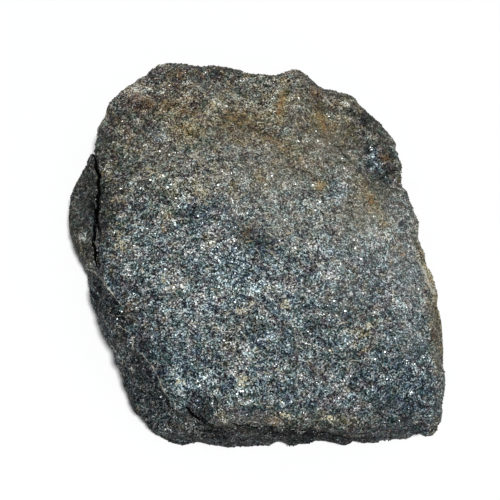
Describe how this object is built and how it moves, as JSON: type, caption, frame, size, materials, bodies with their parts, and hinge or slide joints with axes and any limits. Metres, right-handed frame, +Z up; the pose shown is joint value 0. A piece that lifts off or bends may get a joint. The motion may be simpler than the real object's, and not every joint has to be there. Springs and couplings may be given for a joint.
{
  "type": "chromite ore specimen",
  "caption": "Broken, hand-sized lump of massive granular chromite ore with a gently domed top, a low shelf along its side and brown iron staining, lying on its flattest face.",
  "frame": {"origin": "under the middle of the stone's bounding box, on the ground that it rests on", "axes": "+Z up through the domed top, +Y toward the narrower upper end, +X toward the side away from the low shelf"},
  "size_m": [0.1212, 0.1246, 0.0392],
  "materials": {
    "chromite": "iron-grey granular ore with a dull metallic lustre, small glinting grain faces and brown to ochre iron stains"
  },
  "bodies": {
    "root": {"chromite_ore": "chromite"}
  },
  "joints": []
}
